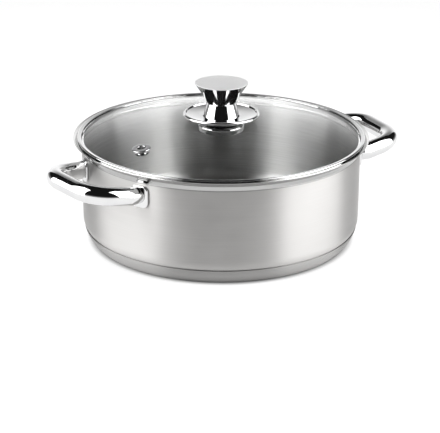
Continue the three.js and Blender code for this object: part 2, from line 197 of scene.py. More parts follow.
# %% Node helpers
def feed(tree, socket, value):
    """Links an output to an input socket, or sets the socket to a plain value."""
    if isinstance(value, bpy.types.NodeSocket):
        tree.links.new(value, socket)
    else:
        socket.default_value = value


def math_node(tree, operation, a, b=None):
    """Math node; a and b are numbers or outputs."""
    node = tree.nodes.new("ShaderNodeMath")
    node.operation = operation
    feed(tree, node.inputs[0], a)
    if b is not None:
        feed(tree, node.inputs[1], b)
    return node.outputs[0]


def noise_node(tree, vector, scale, detail=2.0, roughness=0.5):
    """Noise value, 0 to 1."""
    node = tree.nodes.new("ShaderNodeTexNoise")
    sockets = ("Vector", "Scale", "Detail", "Roughness")
    for socket, value in zip(sockets, (vector, scale, detail, roughness)):
        feed(tree, node.inputs[socket], value)
    return node.outputs["Fac"]


def ramp_node(tree, value, low, high, out_low=0.0, out_high=1.0):
    """Smooth step from low to high."""
    node = tree.nodes.new("ShaderNodeMapRange")
    node.interpolation_type = "SMOOTHSTEP"
    sockets = ("Value", "From Min", "From Max", "To Min", "To Max")
    for socket, given in zip(sockets, (value, low, high, out_low, out_high)):
        feed(tree, node.inputs[socket], given)
    return node.outputs["Result"]


# %% [markdown]
# A pattern needs a place to be measured from. Object coordinates are in metres and fixed to the piece, so a
# brush line stays where it is when the lid lifts, and no image has to be wrapped round anything. A node
# group is a tree of its own with named sockets, like a small tool with dials: it is built once, and each
# material sets the dials for itself.

# %% Places and node groups
def object_place(tree):
    """Place on the piece, in metres."""
    return tree.nodes.new("ShaderNodeTexCoord").outputs["Object"]


def object_axes(tree):
    """X, Y and Z of the place on the piece."""
    apart = tree.nodes.new("ShaderNodeSeparateXYZ")
    tree.links.new(object_place(tree), apart.inputs[0])
    return apart.outputs


def node_group(name, inputs, outputs):
    """Empty shader group with float inputs {name: default} and float outputs."""
    tree = bpy.data.node_groups.new(name, "ShaderNodeTree")
    for socket, default in inputs.items():
        made = tree.interface.new_socket(name=socket, in_out="INPUT", socket_type="NodeSocketFloat")
        made.default_value = default
    for socket in outputs:
        tree.interface.new_socket(name=socket, in_out="OUTPUT", socket_type="NodeSocketFloat")
    print("node group", name, "puts out", outputs)
    return tree, tree.nodes.new("NodeGroupInput").outputs, tree.nodes.new("NodeGroupOutput").inputs


# %% [markdown]
# Brush lines run round the axis, because the pot turns against the brush. They need a coordinate that
# grows along the profile and hardly changes round it: radius plus height does this on floor, corner and
# wall alike, and the direction from the axis, kept as a unit vector, closes without a seam.

# %% Group: turned brush lines
BAND_SHARE = 0.12
AXIS_CLEAR = 1e-4


def turned_lines_group():
    """Fine lines round the axis, and the broader bands that they gather into."""
    tree, given, out = node_group("turned_lines", {"Lines": 900.0, "Run": 1.5}, ["Lines", "Bands"])
    x, y, z = object_axes(tree)
    squared = math_node(tree, "ADD", math_node(tree, "MULTIPLY", x, x), math_node(tree, "MULTIPLY", y, y))
    radius = math_node(tree, "SQRT", squared)
    along = math_node(tree, "ADD", radius, z)
    clear = math_node(tree, "MAXIMUM", radius, AXIS_CLEAR)
    turned = []
    for axis in (x, y):
        direction = math_node(tree, "DIVIDE", axis, clear)
        turned.append(math_node(tree, "MULTIPLY", direction, given["Run"]))
    for result, share in (("Lines", 1.0), ("Bands", BAND_SHARE)):
        density = math_node(tree, "MULTIPLY", given["Lines"], share)
        line = tree.nodes.new("ShaderNodeCombineXYZ")
        for socket, value in zip(line.inputs, (*turned, math_node(tree, "MULTIPLY", along, density))):
            tree.links.new(value, socket)
        grain = noise_node(tree, line.outputs[0], scale=1.0, detail=3.0, roughness=0.6)
        tree.links.new(grain, out[result])
    return tree


TURNED_LINES = turned_lines_group()

# %% [markdown]
# A polished surface is never even. The wheel leaves a soft haze, which a slow noise gives, and use adds
# hairlines that cross each other. Scratches could be drawn as an image, but images can't be scaled to any
# piece, so each hairline direction is a noise stretched 14 times along one axis and cut at a high value:
# only the peaks stay, as thin strokes. Rarity sets how high.

# %% Groups: haze and hairlines
HAZE_SPREAD = (0.35, 0.7)
HAIR_STRETCH = 14.0
HAIR_TURNS = ((0.3, 0.2, 0.5), (1.1, 0.7, 1.9), (0.4, 1.5, 2.8))


def haze_group():
    """Slow cloudiness, 0 to 1."""
    tree, given, out = node_group("polish_haze", {"Scale": 30.0}, ["Haze"])
    value = noise_node(tree, object_place(tree), given["Scale"], detail=4.0, roughness=0.55)
    tree.links.new(ramp_node(tree, value, *HAZE_SPREAD), out["Haze"])
    return tree


def hairline_group():
    """1 on thin strokes that run in three directions."""
    tree, given, out = node_group("hairlines", {"Scale": 60.0, "Rarity": 0.66}, ["Hairlines"])
    found = None
    for turn in HAIR_TURNS:
        mapping = tree.nodes.new("ShaderNodeMapping")
        mapping.inputs["Rotation"].default_value = turn
        mapping.inputs["Scale"].default_value = (1.0, HAIR_STRETCH, HAIR_STRETCH)
        tree.links.new(object_place(tree), mapping.inputs["Vector"])
        value = noise_node(tree, mapping.outputs[0], given["Scale"], detail=1.0)
        line = math_node(tree, "GREATER_THAN", value, given["Rarity"])
        found = line if found is None else math_node(tree, "MAXIMUM", found, line)
    tree.links.new(found, out["Hairlines"])
    return tree


POLISH_HAZE = haze_group()
HAIRLINES = hairline_group()

# %% [markdown]
# The lip is polished after the wall is brushed, so the finish changes at one height. Two meshes with two
# materials would give a hard seam. A mask on height fades over one millimetre instead, and a second mask
# marks a fine dark line just below the bend: painted shade, for the thin shadow where the lip turns out
# from the wall.

# %% Group: polished lip and painted shade line
LIP_START = 83.0
LIP_FADE = (-0.6, 0.4)
# painted shade line: how far below the lip's start it lies, and how wide it is
SHADE_LINE_DROP = 0.7
SHADE_LINE_WIDTH = 0.7


def lip_polish_and_shade_line_group():
    """1 on the brushed wall and 0 on the lip, and 1 on a line of painted shade just below the bend."""
    inputs = {"Start": LIP_START * MM, "Line Width": SHADE_LINE_WIDTH * MM}
    tree, given, out = node_group("lip_polish_and_shade_line", inputs, ["Brushed", "Line"])
    above = math_node(tree, "SUBTRACT", object_axes(tree)["Z"], given["Start"])
    low, high = LIP_FADE
    tree.links.new(ramp_node(tree, above, low * MM, high * MM, 1.0, 0.0), out["Brushed"])
    away = math_node(tree, "ABSOLUTE", math_node(tree, "ADD", above, SHADE_LINE_DROP * MM))
    tree.links.new(ramp_node(tree, away, 0.0, given["Line Width"], 1.0, 0.0), out["Line"])
    return tree


LIP_POLISH_AND_SHADE_LINE = lip_polish_and_shade_line_group()

# %% [markdown]
# Every finish is one Principled shader, because that is the shader that exports to other programs. What is
# the same all over a piece is set on the shader's own sockets, and only what changes over the surface is
# linked: masks for roughness, a mix of two near tones for colour, and a bump for relief too fine to model.

# %% Material helpers
def new_material(name, colour, roughness, metallic=1.0):
    """Material with one Principled shader; returns (material, tree, shader)."""
    material = bpy.data.materials.new(name)
    material.use_nodes = True
    tree = material.node_tree
    shader = tree.nodes["Principled BSDF"]
    shader.inputs["Base Color"].default_value = (*colour, 1.0)
    shader.inputs["Roughness"].default_value = roughness
    shader.inputs["Metallic"].default_value = metallic
    print("material", name)
    return material, tree, shader


def use_group(tree, group, **values):
    """Places a node group with its own input values (underscores stand for spaces)."""
    node = tree.nodes.new("ShaderNodeGroup")
    node.node_tree = group
    for socket, value in values.items():
        node.inputs[socket.replace("_", " ")].default_value = value
    return node.outputs


def bump(tree, shader, height, distance, strength):
    """Relief from a height mask, over a distance in mm."""
    node = tree.nodes.new("ShaderNodeBump")
    node.inputs["Strength"].default_value = strength
    node.inputs["Distance"].default_value = distance * MM
    tree.links.new(height, node.inputs["Height"])
    tree.links.new(node.outputs["Normal"], shader.inputs["Normal"])


def blend(tree, mask, low, high):
    """Colour that goes from low to high with a mask; each is a colour or an output."""
    node = tree.nodes.new("ShaderNodeMix")
    node.data_type = "RGBA"
    tree.links.new(mask, node.inputs["Factor"])
    for socket, colour in (("A", low), ("B", high)):
        plain = isinstance(colour, tuple)
        feed(tree, node.inputs[socket], (*colour, 1.0) if plain else colour)
    return node.outputs["Result"]


# %% [markdown]
# Brushed steel smears what it mirrors across its lines: here up and down, while upright bands of light keep
# their edges. Bump alone can't do that at this scale, so the shader's own anisotropy does, turned a quarter
# because its direction follows the turning. Wall, inside and base were brushed in different passes, so they
# are three materials from one function, with near tones and their own roughness.

# %% Material: brushed steel
POLISH = 0.06
HANDLING = 0.03
QUARTER_TURN = 0.25
LINE_SPREAD = (0.25, 0.75)
BAND_SPREAD = (0.3, 0.7)
POLISH_TONE = (0.74, 0.74, 0.735)
# painted shade: a tone far darker than polished steel, which darkens the outside of the lip while the inside
# of the same lip keeps the polished tone
LIP_PAINTED_SHADE_TONE = (0.45, 0.45, 0.447)
# painted shade: the dark colour of the line just below the lip's bend
SHADE_LINE_TONE = (0.3, 0.3, 0.3)
WALL_TONES = ((0.51, 0.503, 0.495), (0.53, 0.523, 0.515))
INSIDE_TONES = ((0.49, 0.49, 0.485), (0.59, 0.59, 0.585))
BASE_TONES = ((0.37, 0.365, 0.36), (0.39, 0.385, 0.38))


def brushed_steel(name, tones, lip, roughness, anisotropy):
    """Steel brushed round the axis in two near tones, with a polished lip in a given tone and a painted
    shade line below it.
    """
    material, tree, shader = new_material(name, tones[1], roughness[1])
    shader.inputs["Anisotropic"].default_value = anisotropy
    shader.inputs["Anisotropic Rotation"].default_value = QUARTER_TURN
    lines = use_group(tree, TURNED_LINES, Lines=1400.0, Run=2.0)
    lip_masks = use_group(tree, LIP_POLISH_AND_SHADE_LINE, Start=LIP_START * MM, Line_Width=SHADE_LINE_WIDTH * MM)
    brushed = lip_masks["Brushed"]
    haze = use_group(tree, POLISH_HAZE, Scale=22.0)["Haze"]
    rough = ramp_node(tree, lines["Bands"], *BAND_SPREAD, roughness[0] - POLISH, roughness[1] - POLISH)
    rough = math_node(tree, "ADD", rough, math_node(tree, "MULTIPLY", haze, HANDLING))
    rough = math_node(tree, "ADD", math_node(tree, "MULTIPLY", rough, brushed), POLISH)
    tree.links.new(rough, shader.inputs["Roughness"])
    tone = blend(tree, ramp_node(tree, lines["Lines"], *LINE_SPREAD), *tones)
    tone = blend(tree, brushed, lip, tone)
    # painted shade: a thin dark line of colour just below the lip's bend
    tone = blend(tree, lip_masks["Line"], tone, SHADE_LINE_TONE)
    tree.links.new(tone, shader.inputs["Base Color"])
    relief = math_node(tree, "MULTIPLY", lines["Lines"], brushed)
    bump(tree, shader, relief, distance=0.01, strength=0.2)
    return material


BRUSHED = brushed_steel("brushed_wall", WALL_TONES, LIP_PAINTED_SHADE_TONE, (0.45, 0.48), 0.9)
INSIDE = brushed_steel("brushed_inside", INSIDE_TONES, POLISH_TONE, (0.28, 0.33), 1.0)
BASE = brushed_steel("brushed_base", BASE_TONES, LIP_PAINTED_SHADE_TONE, (0.4, 0.44), 0.95)

# %% [markdown]
# Polished steel, on handles, knob, lid band and vent, is a mirror that isn't quite clean. Its colour could
# be one value, but haze and hairlines change roughness and tone a little, and these small changes are what
# tells metal from chrome paint when the light moves over it.

# %% Material: polished steel
CLEAN_ROUGHNESS = 0.035
HAZE_ROUGHNESS = 0.035
HAIR_ROUGHNESS = 0.05
HAZE_TONES = ((0.76, 0.76, 0.76), (0.72, 0.72, 0.725))


def polished_steel():
    material, tree, shader = new_material("polished_steel", POLISH_TONE, 0.05)
    haze = use_group(tree, POLISH_HAZE, Scale=45.0)["Haze"]
    hairs = use_group(tree, HAIRLINES, Scale=70.0, Rarity=0.7)["Hairlines"]
    rough = math_node(tree, "ADD", math_node(tree, "MULTIPLY", haze, HAZE_ROUGHNESS), CLEAN_ROUGHNESS)
    rough = math_node(tree, "ADD", rough, math_node(tree, "MULTIPLY", hairs, HAIR_ROUGHNESS))
    tree.links.new(rough, shader.inputs["Roughness"])
    tree.links.new(blend(tree, haze, *HAZE_TONES), shader.inputs["Base Color"])
    return material


POLISHED = polished_steel()

# %% [markdown]
# The knob's disc has a fine satin turning: so rough that it gathers light from all round, and its tone is
# set paler than the other steel, painted light that adds to its pale look.
# The screw and the stem are plain turned steel, straight from the lathe. Both use the brush lines again,
# closer together, with different roughness.

# %% Materials: satin and plain steel
# painted light, in part: a tone paler than the other steel, which lightens the disc besides the light its
# roughness gathers
SATIN_PAINTED_PALE_TONES = ((0.88, 0.88, 0.88), (0.95, 0.95, 0.95))


def satin_steel():
    material, tree, shader = new_material("satin_steel", SATIN_PAINTED_PALE_TONES[0], 0.7)
    lines = use_group(tree, TURNED_LINES, Lines=2400.0, Run=1.0)
    tree.links.new(ramp_node(tree, lines["Bands"], *BAND_SPREAD, 0.68, 0.76), shader.inputs["Roughness"])
    tree.links.new(blend(tree, lines["Lines"], *SATIN_PAINTED_PALE_TONES), shader.inputs["Base Color"])
    bump(tree, shader, lines["Lines"], distance=0.01, strength=0.3)
    return material


def plain_steel():
    material, tree, shader = new_material("plain_steel", (0.6, 0.6, 0.6), 0.35)
    lines = use_group(tree, TURNED_LINES, Lines=1800.0, Run=1.0)
    tree.links.new(ramp_node(tree, lines["Bands"], *BAND_SPREAD, 0.3, 0.45), shader.inputs["Roughness"])
    bump(tree, shader, lines["Lines"], distance=0.02, strength=0.3)
    return material


SATIN = satin_steel()
PLAIN = plain_steel()

# %% [markdown]
# Three materials that aren't steel. Aluminium comes rolled, with a grainy sheen. Silicone is matt and black
# with a faint grain. Glass could be a Glass shader, but the Principled shader with full transmission also
# exports. Real glass has an index near 1.5 and would mirror the bright sheet behind the pot; a photographer
# takes that sheen off with a polarising filter, which Blender lacks, so a low index does it here. Put 1.5
# back for a lid in ordinary light.

# %% Materials: aluminium, glass and silicone
GLASS_INDEX = 1.1
GLASS_HAZE = 0.03
GLASS_HAIRS = 0.06


def rolled_aluminium():
    material, tree, shader = new_material("rolled_aluminium", (0.78, 0.79, 0.8), 0.5)
    haze = use_group(tree, POLISH_HAZE, Scale=120.0)["Haze"]
    tree.links.new(ramp_node(tree, haze, 0.0, 1.0, 0.42, 0.58), shader.inputs["Roughness"])
    return material


def clear_glass():
    material, tree, shader = new_material("clear_glass", (0.98, 0.982, 0.98), 0.0, 0.0)
    shader.inputs["Transmission Weight"].default_value = 1.0
    shader.inputs["IOR"].default_value = GLASS_INDEX
    haze = use_group(tree, POLISH_HAZE, Scale=18.0)["Haze"]
    hairs = use_group(tree, HAIRLINES, Scale=25.0, Rarity=0.72)["Hairlines"]
    strokes = math_node(tree, "MULTIPLY", hairs, GLASS_HAIRS)
    marks = math_node(tree, "ADD", math_node(tree, "MULTIPLY", haze, GLASS_HAZE), strokes)
    tree.links.new(marks, shader.inputs["Roughness"])
    return material


def black_silicone():
    material, tree, shader = new_material("black_silicone", (0.03, 0.03, 0.03), 0.6, 0.0)
    haze = use_group(tree, POLISH_HAZE, Scale=200.0)["Haze"]
    tree.links.new(ramp_node(tree, haze, 0.0, 1.0, 0.5, 0.7), shader.inputs["Roughness"])
    bump(tree, shader, haze, distance=0.05, strength=0.3)
    return material


ALUMINIUM = rolled_aluminium()
GLASS = clear_glass()
SILICONE = black_silicone()

# %% [markdown]
# The pot is one sheet of steel: floor, a rounded corner, an upright wall and a lip that flares outwards so
# that it pours without dripping. It is drawn in a press and trimmed on a lathe, so it is turned here too.
# A Solidify modifier on a single surface would be quicker, but drawing both sides lets the lip end in a
# true round edge. Height and floor come from the CAD node, and the faces that look in or up get the
# inside's finish.

# %% Pot shell
WALL = 0.8
OUTER_RADIUS = 120.8
CORNER_RADIUS = 14.0
LIP_BEND = 6.0
LIP_ANGLE = 55.0
pot_low, pot_high = box_mm("pot_body")
floor_under = pot_low.z
corner_centre = (OUTER_RADIUS - CORNER_RADIUS, floor_under + CORNER_RADIUS)
lip_centre = (OUTER_RADIUS + LIP_BEND, LIP_START)
flare = Vector((math.sin(math.radians(LIP_ANGLE)), math.cos(math.radians(LIP_ANGLE))))
across_flare = Vector((flare.y, -flare.x))
flare_in = Vector(arc(lip_centre, LIP_BEND + WALL, 180, 180 - LIP_ANGLE, 1)[1])
lip_top = flare_in + flare * ((pot_high.z - flare_in.y) / flare.y)
lip_round = lip_top + across_flare * (WALL / 2)


def pot_outline():
    """Outside from the floor up, the round lip edge, and the inside down again."""
    edge_angle = 90 - LIP_ANGLE
    lip_edge = arc(lip_round - flare * (WALL / 2), WALL / 2, edge_angle - 90, edge_angle + 90, 8)
    outside = [(0.0, floor_under)]
    outside += arc(corner_centre, CORNER_RADIUS, -90, 0)
    outside += arc(lip_centre, LIP_BEND, 180, 180 - LIP_ANGLE)
    inside = arc(lip_centre, LIP_BEND + WALL, 180 - LIP_ANGLE, 180)
    inside += arc(corner_centre, CORNER_RADIUS - WALL, 0, -90)
    inside += [(0.0, floor_under + WALL)]
    return outside + lip_edge + inside


def mark_inside(mesh):
    """Gives the faces that look inwards or up the second material."""
    for face in mesh.polygons:
        outwards = Vector((face.center.x, face.center.y, 0)).normalized()
        face.material_index = 1 if face.normal.z > face.normal.dot(outwards) else 0


pot_mesh = turned_mesh("pot_shell", pot_outline())
piece("pot_shell", pot_mesh, "pot", "pot_body", BRUSHED)
pot_mesh.materials.append(INSIDE)
mark_inside(pot_mesh)

# %% [markdown]
# Under the floor a disc of aluminium spreads the heat, and a thin cup, pressed over it at high heat, closes
# it in. The cup's flank bows out a little, which is what draws the dark line between cup and wall. A flat
# cylinder would lose that line, so the side is a rounded lower edge and a shallow bow, drawn twice: once
# outside and once moved in by the sheet.

# %% Base cup
CUP_SHEET = 0.6
CUP_FLAT = 111.0
CUP_EDGE = 2.6
CUP_BULGE = 0.9
CUP_STEPS = 12
cup_high = box_mm("base_cap")[1]


def cup_side(inset):
    """Side of the cup, moved in by an inset: a rounded lower edge and a slightly bowed flank."""
    edge = arc((CUP_FLAT, CUP_EDGE), CUP_EDGE - inset, -90, -30, 8)
    foot = Vector(edge[-1])
    rim = Vector((cup_high.x - inset, cup_high.z))
    flank = []
    for i in range(1, CUP_STEPS + 1):
        t = i / CUP_STEPS
        bow = 4 * CUP_BULGE * t * (1 - t)
        flank.append(tuple(foot.lerp(rim, t) + Vector((bow, 0))))
    return edge + flank


cup_outline = [(0.0, 0.0)] + cup_side(0.0) + cup_side(CUP_SHEET)[::-1] + [(0.0, CUP_SHEET)]
piece("base_cup", turned_mesh("base_cup", cup_outline), "pot", "base_cap", BASE)

# %% [markdown]
# Each handle is one length of steel tube, bent cold round a former and polished: two straight arms that
# draw in a little, two bends of one radius and a straight outer bar. It rises towards the bar, so that
# knuckles stay clear of the hot wall. First comes the middle line of the tube, as a plan of half a handle,
# which is mirrored and lifted.

# %% Handle line
HANDLE_REACH = 156.0
ARM_START = 117.0
ARM_OFFSET = 40.3
ARM_DRAW_IN = 10.0
BEND_RADIUS = 24.0
HANDLE_HEIGHT = 71.6
HANDLE_RISE = 6.0
HANDLE_FORWARD = math.radians(7)
HANDLE_TURNS = {"right": -HANDLE_FORWARD, "left": math.pi + HANDLE_FORWARD}
ARM_STEPS = 24
BEND_STEPS = 40
BAR_STEPS = 10


def half_handle():
    """Half of the plan of a handle that points along +X, from the pot to the middle of the bar."""
    slope = math.tan(math.radians(ARM_DRAW_IN))
    bend_x = HANDLE_REACH - BEND_RADIUS
    bend_y = ARM_OFFSET - (bend_x - ARM_START) * slope - BEND_RADIUS / math.cos(math.radians(ARM_DRAW_IN))
    bend = arc((bend_x, bend_y), BEND_RADIUS, 90 - ARM_DRAW_IN, 0, BEND_STEPS)
    arm_end = Vector(bend[0])
    arm = [Vector((ARM_START, ARM_OFFSET)).lerp(arm_end, i / ARM_STEPS) for i in range(ARM_STEPS)]
    bar = [Vector((HANDLE_REACH, bend_y * (1 - i / BAR_STEPS))) for i in range(1, BAR_STEPS + 1)]
    return [*arm, *map(Vector, bend), *bar]


def handle_line():
    """Middle line of the handle, from the side of +Y to the side of -Y."""
    half = half_handle()
    plan = half + [Vector((p.x, -p.y)) for p in half[-2::-1]]
    climb = HANDLE_RISE / (HANDLE_REACH - ARM_START)
    return [Vector((p.x, p.y, HANDLE_HEIGHT + (p.x - ARM_START) * climb)) for p in plan]


print("handle line has", len(handle_line()), "points")

# %% [markdown]
# A bevelled curve object would give the same tube, but with flat ends. Sweeping rings along the line by
# hand lets both ends be cut to the round of the pot, as a fitter would file them before welding. The cut
# has a small rounded edge, because a razor edge catches no light.

# %% Handle tubes
TUBE_RADIUS = 7.65
TUBE_SIDES = 64
FOOT_FACE = 123.1
WELD_SEAM = 0.3
ARM_CLEAR = 5.0
END_EDGE = ((0.5, 0.0), (0.1, 0.12), (0.0, 0.4))


def tube_ring(middle, ahead):
    """Points of a tube section at a place on its middle line, looking ahead."""
    side = ahead.cross(Vector((0, 0, 1))).normalized()
    up = side.cross(ahead)
    angles = [2 * math.pi * k / TUBE_SIDES for k in range(TUBE_SIDES)]
    return [middle + (side * math.cos(a) + up * math.sin(a)) * TUBE_RADIUS for a in angles]


def cut_end(ring, middle):
    """Rings that end a tube on the round of its foot, with a small rounded edge."""
    rings = []
    for trim, inset in END_EDGE:
        reach = FOOT_FACE + WELD_SEAM + trim
        drawn = [middle + (spot - middle) * (1 - inset / TUBE_RADIUS) for spot in ring]
        rings.append([Vector((math.sqrt(reach ** 2 - p.y ** 2), p.y, p.z)) for p in drawn])
    return rings


def handle_mesh(name, turn):
    """Handle tube, turned about the pot's axis."""
    line = [spot for spot in handle_line() if spot.x > ARM_START + ARM_CLEAR]
    rings = []
    for before, spot, after in zip(line[:1] + line, line, line[1:] + line[-1:]):
        rings.append(tube_ring(spot, (after - before).normalized()))
    rings = cut_end(rings[0], line[0])[::-1] + rings + cut_end(rings[-1], line[-1])
    turned = Matrix.Rotation(turn, 3, "Z")
    return ring_mesh(name, [[turned @ spot for spot in ring] for ring in rings])


for hand, turn in HANDLE_TURNS.items():
    name = hand + "_handle_tube"
    piece(name, handle_mesh(name, turn), "pot", hand + "_handle", POLISHED)

# %% [markdown]
# Each arm ends on a foot: a small plate with round corners, rolled to the wall's curve and spot welded to
# it, which spreads the load so that the thin wall does not tear. A bevelled, bent box would do, but the
# plate is drawn directly as rounded outlines stacked from the wall outwards. The last few layers step in
# along a quarter circle, and that is the soft edge that polishing leaves.

# %% Handle feet
FOOT_WIDTH = 17.0
FOOT_HEIGHT = 18.8
FOOT_CORNER = 5.0
FOOT_EASING = 0.8
FOOT_BACK = 121.1
FOOT_OFFSET = 41.0
FOOT_DROP = 0.4
FOOT_MIDDLE = HANDLE_HEIGHT - FOOT_DROP
FOOT_EDGE_STEPS = 5
CORNER_POINTS = 8
FACE_INSETS = (3.0, 4.2)


def plate_outline(inset):
    """Rounded rectangle, moved in by an inset."""
    corner = FOOT_CORNER - inset
    across = FOOT_WIDTH / 2 - FOOT_CORNER
    up = FOOT_HEIGHT / 2 - FOOT_CORNER
    points = []
    for x, y, start in ((across, up, 0), (-across, up, 90), (-across, -up, 180), (across, -up, 270)):
        points += arc((x, y), corner, start, start + 90, CORNER_POINTS)
    return points


def foot_mesh(name, angle):
    """Foot plate at an angle round the pot."""
    layers = [(0.0, FOOT_BACK)]
    for i in range(FOOT_EDGE_STEPS + 1):
        swing = math.radians(90 * i / FOOT_EDGE_STEPS)
        layers.append((FOOT_EASING * (1 - math.cos(swing)), FOOT_FACE - FOOT_EASING * (1 - math.sin(swing))))
    layers += [(inset, FOOT_FACE) for inset in FACE_INSETS]
    rings = []
    for inset, radius in layers:
        ring = []
        for across, up in plate_outline(inset):
            a = angle + across / FOOT_FACE
            ring.append(Vector((radius * math.cos(a), radius * math.sin(a), FOOT_MIDDLE + up)))
        rings.append(ring)
    return ring_mesh(name, rings)


foot_angle = math.asin(FOOT_OFFSET / FOOT_FACE)
for hand, front in (("right", -1), ("left", 1)):
    for place, side in (("front", front), ("rear", -front)):
        name = hand + "_" + place + "_foot_plate"
        mesh = foot_mesh(name, HANDLE_TURNS[hand] + side * foot_angle)
        piece(name, mesh, "pot", hand + "_handle_" + place + "_foot", POLISHED)

# %% [markdown]
# The lid is a shallow dome of tempered glass: a flat disc that sagged into a mould in the oven, with a bolt
# hole in the middle and a vent hole near the edge. A slice of a sphere would do for the top, but glass has
# to be a closed body with a true thickness, or light bends wrongly in it. So the outline runs along the
# upper sphere, round a ground edge and back along the lower one.

# %% Lid glass
DOME_RISE = 14.5
GLASS_THICKNESS = 3.5
GLASS_EDGE_CHAMFER = 1.8
BOLT_HOLE = 2.8
DOME_STEPS = 40
glass_high = box_mm("lid_glass")[1]
glass_radius = glass_high.x
dome_radius = (glass_radius ** 2 + DOME_RISE ** 2) / (2 * DOME_RISE)
dome_apex = glass_high.z + dome_radius - math.sqrt(dome_radius ** 2 - BOLT_HOLE ** 2)


def dome_height(radius, depth=0.0):
    """Height of the glass at a radius, on the surface that lies a depth below the top."""
    sphere = dome_radius - depth
    return dome_apex - dome_radius + math.sqrt(sphere ** 2 - radius ** 2)


def dome_line(start, end, depth):
    """Points along the dome from one radius to another."""
    radii = [start + (end - start) * i / DOME_STEPS for i in range(DOME_STEPS + 1)]
    return [(r, dome_height(r, depth)) for r in radii]


glass_foot = glass_radius - GLASS_EDGE_CHAMFER
glass_outline = dome_line(BOLT_HOLE, glass_radius, 0.0)
glass_outline += [(glass_radius, dome_height(glass_foot, GLASS_THICKNESS) + GLASS_EDGE_CHAMFER)]
glass_outline += dome_line(glass_foot, BOLT_HOLE, GLASS_THICKNESS)
lid_dome = piece("lid_dome", turned_mesh("lid_dome", glass_outline), "lid", "lid_glass", GLASS)

# %% [markdown]
# The vent hole lies off the axis, so turning can't make it. A drill mesh is set upright on the sloping dome
# and cut out with a boolean, as the glazier drills before tempering. The result is applied at once, so that
# no modifier is left on the piece. The same placing matrix will seat the eyelet.

# %% Vent hole
VENT_INSET = 30.8
VENT_ANGLE = 192.7
VENT_DRILL = 4.6
DRILL_REACH = 9.0
DRILL_SIDES = 64
vent_radius = glass_radius - VENT_INSET
vent_turn = math.radians(VENT_ANGLE)
vent_tilt = math.asin(vent_radius / dome_radius)
vent_spot = Vector((math.cos(vent_turn), math.sin(vent_turn), 0)) * vent_radius
vent_spot.z = dome_height(vent_radius)
vent_place = Matrix.Translation(vent_spot * MM)
vent_place = vent_place @ Matrix.Rotation(vent_turn, 4, "Z") @ Matrix.Rotation(vent_tilt, 4, "Y")


def cut_away(obj, tool):
    """Cuts a tool mesh out of a piece with a boolean, and applies it."""
    cutter = bpy.data.objects.new("cutter", tool)
    bpy.context.scene.collection.objects.link(cutter)
    cut = obj.modifiers.new("cut", "BOOLEAN")
    cut.operation = "DIFFERENCE"
    cut.object = cutter
    bpy.context.view_layer.update()
    evaluated = obj.evaluated_get(bpy.context.evaluated_depsgraph_get())
    done = bpy.data.meshes.new_from_object(evaluated)
    obj.modifiers.remove(cut)
    obj.data = done
    bpy.data.objects.remove(cutter)
    print(obj.name, "cut:", len(done.polygons), "faces")


drill_outline = [(0, -DRILL_REACH), (VENT_DRILL, -DRILL_REACH), (VENT_DRILL, DRILL_REACH), (0, DRILL_REACH)]
drill = turned_mesh("drill", drill_outline, DRILL_SIDES)
drill.transform(vent_place)
cut_away(lid_dome, drill)

# %% [markdown]
# A steel band is rolled round the glass edge. It covers the ground edge on top, stands out as a bead that
# rests on the lip, and hangs down inside as a skirt that keeps the lid from sliding. The bead is what
# catches the light as a bright ring, so it gets a true arc. The rest is folded sheet, drawn with corners.

# %% Lid band
RIM_SHEET = 0.7
RIM_BEAD = 1.1
BEAD_LIFT = 0.3
COVER_WIDTH = 0.8
COVER_GAP = 0.15
BED_GAP = 0.3
CHANNEL_WALL = 122.4
SEAT_EDGE = (123.57, 89.45)
SEAT_FOOT = 88.6
SKIRT_OUTER = 119.4
SKIRT_EASING = 0.2
rim_low, rim_high = box_mm("lid_rim")
bead_centre = (rim_high.x - RIM_BEAD, glass_high.z - DOME_RISE + BEAD_LIFT)
cover_edge = glass_radius - COVER_WIDTH
cover_under = dome_height(cover_edge) + COVER_GAP
channel_floor = dome_height(glass_foot, GLASS_THICKNESS) - BED_GAP


def band_outline():
    """Cover, bead, seat on the lip, skirt, and the channel that holds the glass."""
    skirt_inner = SKIRT_OUTER - RIM_SHEET
    top = arc((cover_edge + RIM_SHEET / 2, cover_under + RIM_SHEET / 2), RIM_SHEET / 2, 180, 90, 4)
    bead = arc(bead_centre, RIM_BEAD, 110, -50)
    seat = [SEAT_EDGE, (CHANNEL_WALL, SEAT_FOOT), (SKIRT_OUTER, channel_floor - RIM_SHEET)]
    skirt = [(SKIRT_OUTER, rim_low.z + SKIRT_EASING), (SKIRT_OUTER - SKIRT_EASING, rim_low.z)]
    skirt += [(skirt_inner + SKIRT_EASING, rim_low.z), (skirt_inner, rim_low.z + SKIRT_EASING)]
    channel = [(skirt_inner, channel_floor), (glass_foot, channel_floor)]
    channel += [(CHANNEL_WALL, channel_floor + GLASS_EDGE_CHAMFER), (CHANNEL_WALL, cover_under)]
    return [(cover_edge, cover_under)] + top + bead + seat + skirt + channel


piece("lid_band", turned_mesh("lid_band", band_outline()), "lid", "lid_rim", POLISHED)

# %% [markdown]
# The vent is an eyelet, as on a boot: a short barrel through the glass with a rolled flange on top, and its
# lower end crimped outwards so that it can't come out. Steam leaves through the bore. It is turned lying
# flat on the origin and then moved by the matrix that placed the drill, so hole and eyelet can't disagree.

# %% Vent eyelet
VENT_BORE = 3.5
EYELET_RADIUS = 8.0
EYELET_FLANGE = 1.1
EYELET_SHEET = 0.8
EYELET_CRIMP = 6.5
EYELET_GAP = 0.3
EYELET_SIDES = 96
CRIMP_EASING = (0.3, 0.4)


